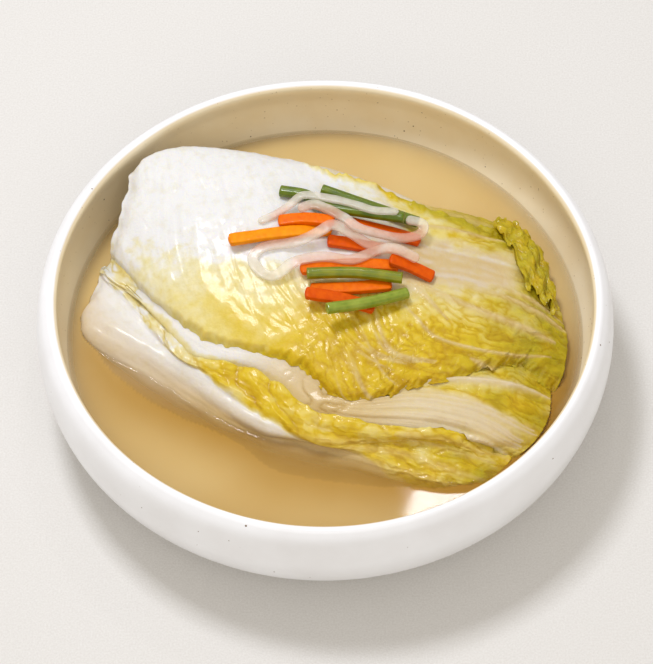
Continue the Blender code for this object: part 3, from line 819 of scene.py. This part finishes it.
def make_second(material):
    """The second leaf: its white stem shows under the top leaf's margin and fans out to the tips."""
    def front(u):
        return second_front(u) + ruffle(u, 0.035 - 0.015 * ease(0.5, 0.7, u), 1.7)

    grid = LeafGrid((0.07, 1.0), (lambda u: 0.0 * u + 4.3, front), under_cap, (329, 141), second_ribs())
    u, v = grid.u, grid.v
    wedge_top = np.interp(u, [0.0, 0.6, 0.69, 0.81, 0.873, 1.0], [4.2, 4.7, 4.98, 5.18, 5.43, 5.82])
    wedge_foot = np.interp(u, [0.0, 0.6, 0.69, 0.777, 0.87, 0.96, 1.0], [6.6, 6.4, 5.9, 6.0, 6.4, 6.7, 6.85])
    wander = 0.05 * noise(grid.base, 5.0, 38)
    white = ease(-0.06, 0.08, v - wedge_top + wander) * (1 - ease(-0.1, 0.12, v - wedge_foot + wander))
    top_rib = bell(v, np.interp(u, [0.6, 0.76, 0.84, 0.91, 1.0], [4.95, 4.9, 4.92, 4.97, 5.12]), 0.09)
    white = np.maximum(white, top_rib * ease(0.56, 0.62, u))
    ends = ease(0.84, 1.0, u + 0.05 * noise(grid.base, 6.0, 40))
    white = white * (1 - ends * (0.9 - 0.75 * grid.rib))
    bare = 1 - white
    margin = 1 - ease(0.0, 5.0, grid.from_front)
    relief, fold = blade_relief(grid, 0.9, 0.7, 31)
    relief *= bare * ease(0.08, 0.25, u)
    smooth = (0.5 * streaks(warped(grid.base, 12.0, 1.5, 41), grid.along, 6.0, 34.0, 35)
              + 0.08 * streaks(grid.base, grid.along, 2.0, 10.0, 39))
    tucks = creases(streaks(grid.base, grid.along, 7.0, 3.0, 33), 0.1) * bell(u, 0.56, 0.06)
    height = relief + grid.rib_rise + white * (smooth - 0.9 * tucks) - 2.5 * (1 - ease(0.07, 0.18, u))
    height -= 1.6 * margin * ease(0.6, 0.72, u)
    masks = {
        # Painted light and shade: a deeper yellow in the valleys and a paler one on the ridges.
        "yellow": np.clip(bare * (0.68 + 0.3 * noise(grid.base, 9.0, 36) + 0.3 * (fold - 0.4))
                          + 0.35 * margin * (1 - ease(0.5, 0.7, u)) + 0.05
                          + white * ease(0.6, 0.7, u) * (0.2 - 0.5 * smooth - 0.15 * grid.rib), 0, 1),
        "green": np.clip(bare * ease(0.68, 0.95, u) * (0.65 + 0.6 * noise(grid.base, 8.0, 37)), 0, 1),
        "rib": white * (0.95 * ease(0.3, 0.6, u) - 0.2 * ease(0.6, 0.7, u)),
        "soaked": (0.1 + 0.6 * ease(0.36, 0.52, u) * (1 - ease(0.6, 0.72, u))) * white,
        # Painted shade in the valleys and in the tucks of the white stem.
        "crease": np.clip(0.85 * fold * bare + 0.7 * tucks * white, 0, 1),
    }
    return make_leaf("second_leaf", grid, height, second_thickness, masks, material,
                     "leaf_second")


def front_ribs():
    """Veins of the front leaf: the white stem that dips into the brine and the fold over it."""
    return [
        (((0.0, 8.0), (0.13, 7.6), (0.22, 7.5), (0.31, 7.45), (0.41, 7.3), (0.55, 7.2)), 16.0, 1.6),
        (((0.02, 6.1), (0.15, 6.5), (0.3, 6.15), (0.38, 6.3), (0.47, 6.4), (0.6, 6.45)), 2.0, 0.4),
        (((0.5, 6.9), (0.65, 6.9), (0.8, 6.9), (0.97, 7.1)), 2.4, 0.6),
        (((0.45, 7.3), (0.62, 7.4), (0.8, 7.5), (0.98, 7.7)), 3.0, 0.6),
        (((0.42, 7.9), (0.62, 7.9), (0.8, 8.0), (0.98, 8.1)), 3.0, 0.6),
        (((0.7, 6.25), (0.785, 6.35), (0.9, 6.75), (1.0, 7.0)), 2.4, 0.8),
    ]


def make_front(material):
    """The front leaf: white stem bulging at the water, with a twisted yellow fold along its top."""
    grid = LeafGrid((0.0, 1.0), (lambda u: 4.5 + 0.9 * ease(0.1, 0.25, u), lambda u: 0.0 * u + 9.2),
                    under_second, (345, 201), front_ribs())
    u, v = grid.u, grid.v
    fold_foot = np.interp(u, [0.0, 0.09, 0.17, 0.24, 0.32, 0.37, 0.5, 0.56, 0.65, 0.77, 1.0],
                          [6.15, 6.35, 6.7, 6.6, 6.38, 6.65, 6.7, 7.1, 7.6, 8.1, 8.8])
    wander = 0.09 * noise(grid.base, 5.0, 58)
    stem = ease(-0.08, 0.12, v - fold_foot + wander)
    bare = 1 - stem
    fold_top = second_front(u)
    ribbon = ease(-0.25, 0.1, v - fold_top) * (1 - ease(-0.15, 0.1, v - fold_foot)) * (1 - ease(0.6, 0.8, u))
    turns = 11 * u - 1.1 * (v - fold_top)
    turns += 0.5 * noise(grid.base, 14.0, 59) + 0.16 * noise(grid.base, 4.0, 62)
    twist = 1 - 2 * np.abs(2 * (turns - np.floor(turns)) - 1)
    relief, fold = blade_relief(grid, 0.95, 0.8, 51)
    relief *= bare * (1 - 0.45 * ribbon) * ease(0.02, 0.14, u)
    soft = (0.9 * streaks(grid.base, grid.along, 8.0, 40.0, 55) + 0.5 * noise(grid.base, 12.0, 61)
            + 0.25 * streaks(grid.base, grid.along, 2.4, 24.0, 60))
    height = relief + ribbon * (2.4 * ease(0.08, 0.3, u) + 0.55 * twist) + stem * soft
    height += grid.rib_rise * (0.5 + 0.5 * stem) - 2.5 * (1 - ease(0.0, 0.045, u))**2
    rib = grid.rib * ease(0.5, 0.6, u)
    masks = {
        # Painted light and shade: a deeper yellow in the valleys and a paler one on the ridges.
        "yellow": np.clip(bare * (0.24 + 0.5 * ease(0.2, 0.42, u) + 0.25 * noise(grid.base, 8.0, 56)
                                  + 0.3 * (fold - 0.4))
                          + 0.55 * stem * ease(0.45, 0.65, u), 0, 1),
        "green": np.clip(bare * ease(0.66, 1.0, u) * (0.5 + 0.6 * noise(grid.base, 8.0, 57)), 0, 1),
        "rib": 0.35 * rib,
        "soaked": stem * (0.08 + 0.55 * ease(6.9, 8.0, v) + 0.35 * ease(0.22, 0.4, u) * ease(6.5, 7.1, v))
        * (1 - 0.15 * ease(0.55, 0.75, u)),
        # Painted shade in the valleys and in the turns of the twisted fold.
        "crease": np.clip(0.7 * fold * bare * (1 - 0.4 * ribbon)
                          + 0.45 * ribbon * ease(0.4, 1.0, -twist), 0, 1),
    }

    def thickness(u, v):
        return BLADE_THICKNESS + 1.5 * bell(v, STEM_LINE, 0.9)

    return make_leaf("front_leaf", grid, height, thickness, masks, material, "leaf_front")


def make_back(material):
    """The back leaf: white stem at the water and a folded green margin against the top leaf."""
    ribs = [(((0.36, 1.6), (0.55, 1.6), (0.75, 1.75), (0.95, 2.0)), 6.0, 0.8),
            (((0.5, 2.2), (0.65, 2.1), (0.8, 2.2), (0.95, 2.4)), 2.5, 0.7)]
    grid = LeafGrid((0.34, 0.97), (lambda u: 0.0 * u + 1.15, lambda u: 0.0 * u + 2.75), under_cap,
                    (241, 81), ribs)
    u, v = grid.u, grid.v
    white = (1 - ease(0.6, 0.72, u)) * (1 - ease(1.95, 2.15, v + 0.06 * noise(grid.base, 5.0, 75)))
    bare = 1 - white
    relief, fold = blade_relief(grid, 0.9, 0.5, 71)
    lines = streaks(grid.base, grid.along, 2.6, 26.0, 76)
    height = relief * bare * (1 - 0.7 * grid.rib) + grid.rib_rise + 0.3 * noise(grid.base, 9.0, 72)
    height += 0.3 * white * lines - 3.0 * (1 - ease(0.34, 0.4, u))**2
    masks = {
        "yellow": np.clip(bare * (0.7 + 0.3 * noise(grid.base, 7.0, 73)) + 0.1 + 0.1 * white * lines, 0, 1),
        "green": np.clip(bare * ease(0.5, 0.7, u) * (0.85 + 0.5 * noise(grid.base, 7.0, 74)), 0, 1),
        "rib": 0.5 * grid.rib * bare,
        "soaked": white * (0.25 + 0.6 * ease(-1.95, -1.3, -v)),
        # Painted shade in the valleys.
        "crease": 0.6 * fold * bare,
    }
    return make_leaf("back_leaf", grid, height, lambda u, v: 2.6 + 0.0 * u, masks, material,
                     "leaf_back")


def make_tip_curl(material):
    """The curled green frill at the back right."""
    ribs = [(((0.80, 2.2), (0.88, 2.3), (0.96, 2.4)), 2.0, 0.5)]

    def lift(u, v):
        wave = np.sin(95 * u + 5.0 * v) * np.sin(7.5 * v + 30 * u)
        return -LEAF_GAP - 1.6 - 1.5 * wave - 0.7 * np.sin(150 * u - 11 * v)

    def back(u):
        return 1.75 + 0.35 * ease(0.87, 0.96, u) + 0.1 * np.sin(120 * u) + 0.07 * np.sin(287 * u)

    def front(u):
        return (2.75 + 0.35 * ease(0.82, 0.89, u) - 0.55 * (1 - ease(0.795, 0.85, u))
                + 0.1 * np.sin(133 * u + 1) + 0.07 * np.sin(301 * u))

    grid = LeafGrid((0.795, 0.962), (back, front), lift, (161, 181), ribs)
    relief, fold = blade_relief(grid, 1.2, 1.0, 91)
    masks = {
        "yellow": np.full(grid.u.shape, 0.9),
        "green": np.clip(0.75 + 0.5 * noise(grid.base, 5.0, 93), 0, 1),
        # Painted shade in the valleys.
        "crease": 0.7 * fold,
    }
    return make_leaf("curled_tip", grid, relief + 0.4, lambda u, v: 1.4 + 0.0 * u, masks, material,
                     "leaf_tip_curl")


def make_heart(material):
    """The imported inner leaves, which show at the back, at the stem ends and under the brine."""
    sides, rings = 320, 180
    v = np.linspace(0.0, LAST_GUIDE, sides)[None, :]
    u, v = np.broadcast_arrays(np.linspace(0.01, 0.98, rings)[:, None], v)
    points = cabbage_surface(u, v, heart_depth(u, v) - 0.4)
    out = outward(points)
    ahead = np.gradient(points, axis=0)
    ahead /= np.linalg.norm(ahead, axis=-1, keepdims=True)
    lines = streaks(points, ahead, 3.0, 18.0, 101)
    points = points + out * (0.5 * lines)[..., None]
    masks = {"yellow": np.clip(0.25 + 0.5 * ease(0.4, 0.9, u), 0, 1),
             "green": 0.5 * ease(0.75, 1.0, u), "rib": 0.0 * u, "soaked": 0.3 + 0.0 * u,
             # Painted shade along the fine lengthwise creases.
             "crease": 0.4 * creases(lines)}
    piece = add_piece("inner_leaves", points.reshape(-1, 3), ring_faces(rings, sides),
                      {k: v.ravel() for k, v in masks.items()}, material)
    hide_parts("cabbage_heart")
    return piece


# ---------------------------------------------------------------- garnish

# Paths of the strips seen from above. Each lies on what was laid down before it.
CARROTS = [
    ((-39, 24), (-18, 28), (3, 30)),
    ((-10, 10), (10, 13), (30, 13)),
    ((-6, 1), (10, 2), (27, 4)),
    ((-19, 34), (-8, 34), (4, 31)),
    ((8, 34), (23, 31), (39, 27)),
    ((1, 24), (11, 23), (23, 21)),
    ((26, 14), (35, 12), (44, 9)),
    ((-8, -3), (6, -4), (20, -7)),
]
STEMS = [
    ((-18, 49), (-7, 46), (-2, 41), (14, 37), (32, 33)),
    ((-7, 6), (12, 7), (31, 5)),
    ((1, -12), (17, -7), (33, 0)),
    ((-1, 50), (18, 43), (38, 36)),
]
RADISHES = [
    ((33, 21), (20, 21), (11, 25), (3, 28), (-1, 26), (-10, 23), (-19, 23), (-26, 21), (-29, 17),
     (-26, 11), (-20, 8), (-13, 12), (-1, 15), (11, 14), (20, 18), (27, 18), (38, 14)),
    ((-11, 38), (-4, 39), (3, 35), (8, 31), (13, 27), (20, 26), (31, 26), (39, 29), (40, 33), (33, 35)),
    ((-27, 34), (-15, 40), (-9, 44), (-2, 43), (5, 41), (13, 38), (20, 35), (30, 34)),
]


class Pile:
    """What the garnish rests on: the top of everything laid down so far."""

    def __init__(self, pieces):
        self.trees = []
        for piece in pieces:
            self.add(piece)

    def add(self, piece):
        corners = [vert.co / MM for vert in piece.data.vertices]
        faces = [tuple(face.vertices) for face in piece.data.polygons]
        self.trees.append(BVHTree.FromPolygons(corners, faces))

    def top(self, x, y, ground=BRINE_Z):
        """Height of the pile under (x, y), or of the ground where nothing lies."""
        hits = [tree.ray_cast(Vector((x, y, 2 * BOWL_HEIGHT)), Vector((0, 0, -1)))[0]
                for tree in self.trees]
        return max((hit.z for hit in hits if hit is not None), default=ground)


def support_heights(pile, path, section):
    """Lowest centre heights that keep a strip of this section on top of the pile along its path."""
    sideways = np.gradient(path, axis=0)[:, ::-1] * (-1.0, 1.0)
    sideways /= np.linalg.norm(sideways, axis=1, keepdims=True)
    width, height = section
    offsets = np.linspace(-1.0, 1.0, 5) * (width / 2 * 0.8)
    tops = [max(pile.top(*(point + side * offset)) for offset in offsets)
            for point, side in zip(path, sideways)]
    return np.array(tops) + height / 2


def stiff_heights(along, support):
    """The straight line that rests on the support on either side of the strip's middle."""
    middle = along[-1] / 2
    best = np.full_like(along, support.max())
    for i in np.flatnonzero(along < middle):
        for j in np.flatnonzero(along >= middle):
            slope = (support[j] - support[i]) / (along[j] - along[i])
            line = support[i] + slope * (along - along[i])
            if line.mean() < best.mean() and np.all(line >= support - 1e-6):
                best = line
    return best


def limp_heights(along, support, steepest=0.35):
    """A drape over the support that climbs and falls no faster than `steepest`."""
    reach = np.abs(along[:, None] - along[None, :]) - 2.0
    return (support[None, :] - steepest * np.maximum(reach, 0.0)).max(axis=1)


def lay_path(pile, points, section, heights, samples):
    """A strip's centre line laid on the pile, and the directions across it and up from it."""
    path = smooth_curve(points, np.linspace(0.0, 1.0, samples))
    along = np.concatenate([[0.0], np.cumsum(np.linalg.norm(np.diff(path, axis=0), axis=1))])
    level = heights(along, support_heights(pile, path, section))
    kernel = np.hanning(9)[1:-1]
    padded = np.pad(level, 3, mode="edge")
    level = np.convolve(padded, kernel / kernel.sum(), mode="valid")
    centre = np.column_stack([path, level])
    ahead = np.gradient(centre, axis=0)
    ahead /= np.linalg.norm(ahead, axis=1, keepdims=True)
    across = np.column_stack([-ahead[:, 1], ahead[:, 0], np.zeros(len(ahead))])
    across /= np.linalg.norm(across, axis=1, keepdims=True)
    return centre, ahead, across, np.cross(ahead, across)


def sweep(centre, across, rise, section, squareness, fullness, sides=28):
    """Rings of a rounded-square section along a centre line."""
    turn = 2 * math.pi * (np.arange(sides) + 0.5) / sides
    cos, sin = np.cos(turn), np.sin(turn)
    power = 2 / squareness
    sideways = np.sign(cos) * np.abs(cos)**power * section[0] / 2
    upward = np.sign(sin) * np.abs(sin)**power * section[1] / 2
    return (centre[:, None, :] + fullness[:, :, None]
            * (across[:, None, :] * sideways[:, None] + rise[:, None, :] * upward[:, None]))


def rounded_ends(samples, length, radius):
    """Share of the full section near a strip's ends, rounded over `radius` millimetres."""
    at = np.linspace(0.0, length, samples)
    near = np.clip(np.minimum(at, length - at) / radius, 0.0, 1.0)
    return np.sqrt(np.maximum(1 - (1 - near)**2, 0.0)) * 0.75 + 0.25


def make_carrot(number, pile, points, material):
    """One julienned carrot strip: squarish, with softened edges, tapering a little."""
    samples = 61
    centre, ahead, across, rise = lay_path(pile, points, CARROT_SECTION, stiff_heights, samples)
    length = np.linalg.norm(centre[-1] - centre[0])
    full = rounded_ends(samples, length, 1.2)[:, None] * (1 + 0.06 * noise(centre, 9.0, number))[:, None]
    rings = sweep(centre, across, rise, CARROT_SECTION, 6.0, full)
    rings += rise[:, None, :] * (0.12 * noise(rings, 2.5, 140 + number))[..., None]
    end = np.repeat(1 - ease(0.0, 3.0, np.minimum(np.arange(samples), np.arange(samples)[::-1]) * 0.7),
                    rings.shape[1])
    piece = add_piece(f"carrot_{number}", rings.reshape(-1, 3), ring_faces(samples, rings.shape[1]),
                      {"end": end}, material)
    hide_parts(f"carrot_strip_{number}")
    pile.add(piece)
    return piece


def make_stem(number, pile, points, material):
    """One cut green stem: a ribbed tube whose cut ends show the hollow pith."""
    samples, sides = 61, 36
    centre, ahead, across, rise = lay_path(pile, points, STEM_SECTION, stiff_heights, samples)
    turn = 2 * math.pi * (np.arange(sides) + 0.5) / sides
    ribbing = 1 + 0.03 * np.cos(9 * turn)
    tube = sweep(centre, across, rise, STEM_SECTION, 2.3, np.broadcast_to(ribbing, (samples, sides)), sides)

    def cut(index, sign):
        """Rings that turn in over the cut and down into the hollow."""
        made = []
        for share, depth in ((0.93, -0.15), (0.72, 0.0), (0.5, 0.7), (0.3, 1.2)):
            ring = centre[index] + (tube[index] - centre[index]) * share - sign * ahead[index] * depth
            made.append(ring)
        return made

    start = cut(0, -1)[::-1]
    finish = cut(-1, 1)
    rings = np.array([*start, *tube, *finish])
    pith = np.repeat([1, 1, 0.6, 0.1] + [0.0] * samples + [0.1, 0.6, 1, 1], sides)
    rib = np.tile(0.5 + 0.5 * np.cos(9 * turn), len(rings)) * 0.35
    piece = add_piece(f"stem_{number}", rings.reshape(-1, 3), ring_faces(len(rings), sides),
                      {"pith": pith, "rib": rib}, material)
    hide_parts(f"green_stem_{number}")
    pile.add(piece)
    return piece


def make_radish(number, pile, points, section, material, carrots):
    """One limp radish strip, draped over the pile."""
    samples = 12 * len(points)
    centre, ahead, across, rise = lay_path(pile, points, section, limp_heights, samples)
    length = np.linalg.norm(np.diff(centre, axis=0), axis=1).sum()
    swell = 1 + 0.09 * noise(centre, 7.0, 150 + number)
    full = (rounded_ends(samples, length, 1.8) * swell)[:, None]
    rings = sweep(centre, across, rise, section, 4.0, full, 24)
    flat = rings.reshape(-1, 3)
    gap = [min(tree.find_nearest(Vector(point))[3] for tree in carrots) for point in flat]
    # Painted light from the carrots, strongest where the strip lies close to one.
    blush = 0.65 * (1 - ease(0.8, 5.5, np.array(gap)))
    piece = add_piece(f"radish_{number}", flat, ring_faces(samples, rings.shape[1]),
                      {"blush": blush}, material)
    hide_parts(f"radish_strip_{number}")
    pile.add(piece)
    return piece


def make_garnish(leaves):
    """Carrot, green stem and radish strips laid across the top leaf."""
    pile = Pile(leaves)
    laid = len(pile.trees)
    orange = raw_carrot("raw_carrot", "F07600", "E46200")
    pale = raw_carrot("raw_carrot_light", "F49A08", "EA8604")
    red = raw_carrot("raw_carrot_core", "E05C00", "D24C00")
    kinds = [pale, orange, orange, orange, red, red, red, red]
    for number, (path, kind) in enumerate(zip(CARROTS, kinds), 1):
        make_carrot(number, pile, path, kind)
    carrots = list(pile.trees[laid:])
    dark = green_stem_skin("dropwort_stem", "708004", "4A6002")
    olive = green_stem_skin("dropwort_stem_olive", "8C8C06", "6A7604")
    bright = green_stem_skin("dropwort_stem_light", "9AA63C", "6C820E")
    for number, (path, kind) in enumerate(zip(STEMS, [dark, olive, bright, dark]), 1):
        make_stem(number, pile, path, kind)
    glassy = pickled_radish()
    for number, (path, section) in enumerate(zip(RADISHES, RADISH_SECTIONS), 1):
        make_radish(number, pile, path, section, glassy, carrots)


# ---------------------------------------------------------------- brine

MENISCUS_RISE = 0.4
MENISCUS_REACH = 1.2
CLARITY = 6.0


def make_brine(leaves):
    """Brine filling the bowl to its level, drawn up where it meets the wall and the leaves."""
    sides = 520
    turn = 2 * math.pi * np.arange(sides) / sides
    edge = inner_radius(BRINE_Z) + 0.8
    radius = np.concatenate([np.linspace(2.0, 44.0, 8), np.linspace(46.0, 98.0, 62),
                             np.linspace(98.6, edge, 14)])
    x = radius[:, None] * np.cos(turn)
    y = radius[:, None] * np.sin(turn)
    pile = Pile(leaves)
    to_wall = inner_radius(BRINE_Z) - radius
    at_wall = 0.5 * np.exp(-np.maximum(to_wall, 0.0) / MENISCUS_REACH)
    floor_z = np.interp(radius, INNER_WALL[:, 0], INNER_WALL[:, 1], left=FLOOR_Z)
    ripple = 0.03 * noise(np.stack([x, y, 0.0 * x], axis=-1), 13.0, 160)
    z = BRINE_Z - 0.2 + at_wall[:, None] + ripple
    cover = np.ones(x.shape)
    shade = np.zeros(x.shape)
    for index in np.ndindex(x.shape):
        if radius[index[0]] < 44:
            continue
        here = Vector((x[index], y[index], BRINE_Z))
        nearest = min(tree.find_nearest(here, 60.0)[3] or 60.0 for tree in pile.trees)
        z[index] += MENISCUS_RISE * math.exp(-nearest / MENISCUS_REACH)
        ground = max(pile.top(here.x, here.y, floor_z[index[0]]), floor_z[index[0]])
        depth = z[index] - ground
        film = 0.05 + 0.15 * float(ease(-20.0, 40.0, x[index]))
        cover[index] = 1 - (1 - film) * math.exp(-depth / CLARITY) if depth > 0.1 else 0.0
        shade[index] = (0.2 + 0.8 * math.exp(-(nearest / 14.0)**2)) * float(ease(-30.0, 40.0, -y[index]))
    top = np.stack([x, y, z], axis=-1)
    wall_down = inner_profile(30)
    wall_down = [(r + 0.5, h - 0.3) for r, h in wall_down if h < BRINE_Z - 0.6]
    below = np.array([[(r * math.cos(a), r * math.sin(a), h) for a in turn] for r, h in wall_down])
    points = np.concatenate([top, below]).reshape(-1, 3)
    rings = len(top) + len(below)
    plain = np.ones((len(below), sides))
    masks = {"cover": np.concatenate([cover, plain]), "shade": np.concatenate([shade, 0 * plain])}
    piece = add_piece("cloudy_brine", points, ring_faces(rings, sides), masks, cloudy_brine())
    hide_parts("brine")
    return piece


# ---------------------------------------------------------------- stage, light and camera

def make_table():
    """The table top, which isn't part of the object."""
    bpy.ops.mesh.primitive_plane_add(size=6.0, location=(0, 0, -0.0002))
    table = bpy.context.object
    table.name = "table_top"
    table.data.materials.append(limewashed_table())


def aim(thing, place, target):
    """Put a lamp or camera at a place and turn it to a target."""
    thing.location = place
    thing.rotation_euler = (Vector(target) - Vector(place)).to_track_quat("-Z", "Y").to_euler()


def make_lamp(name, place, size, power, tint):
    """A soft rectangular lamp aimed at the bowl."""
    data = bpy.data.lights.new(name, "AREA")
    data.shape = "RECTANGLE"
    data.size, data.size_y = size
    data.energy = power
    data.color = colour(tint)[:3]
    lamp = bpy.data.objects.new(name, data)
    bpy.context.collection.objects.link(lamp)
    aim(lamp, place, (0.0, 0.0, 0.03))


def make_light():
    """Soft daylight from high at the back left, with a bright warm room all round."""
    world = bpy.data.worlds.new("bright_room")
    world.use_nodes = True
    world.node_tree.nodes["Background"].inputs["Color"].default_value = colour("FBF6F0")
    world.node_tree.nodes["Background"].inputs["Strength"].default_value = 0.63
    bpy.context.scene.world = world
    make_lamp("window", (-0.34, 0.4, 1.35), (0.32, 0.28), 11.2, "F3F6FF")
    make_lamp("soft_front", (0.1, -1.1, 1.2), (1.4, 0.9), 4.6, "FFFBF6")
    make_lamp("softbox", (0.094, 0.546, 1.047), (0.06, 0.04), 0.3, "F6FAFF")
    bpy.context.scene.view_settings.view_transform = "Standard"


def make_camera():
    """Camera above and in front of the bowl."""
    data = bpy.data.cameras.new("camera")
    data.lens = 169.0
    data.sensor_width = 36.0
    data.dof.use_dof = False
    camera = bpy.data.objects.new("camera", data)
    bpy.context.collection.objects.link(camera)
    aim(camera, (0.0, -0.7312, 1.06883), (0.0007, -0.01238, 0.04618))
    bpy.context.scene.camera = camera


def main():
    leaf_skin = pickled_cabbage()
    make_bowl()
    heart = make_heart(leaf_skin)
    front = make_front(leaf_skin)
    second = make_second(leaf_skin)
    back = make_back(leaf_skin)
    cap = make_cap(leaf_skin)
    tip = make_tip_curl(leaf_skin)
    make_garnish([cap, back])
    make_brine([heart, front, second, back, cap, tip])
    make_table()
    make_light()
    make_camera()


main()
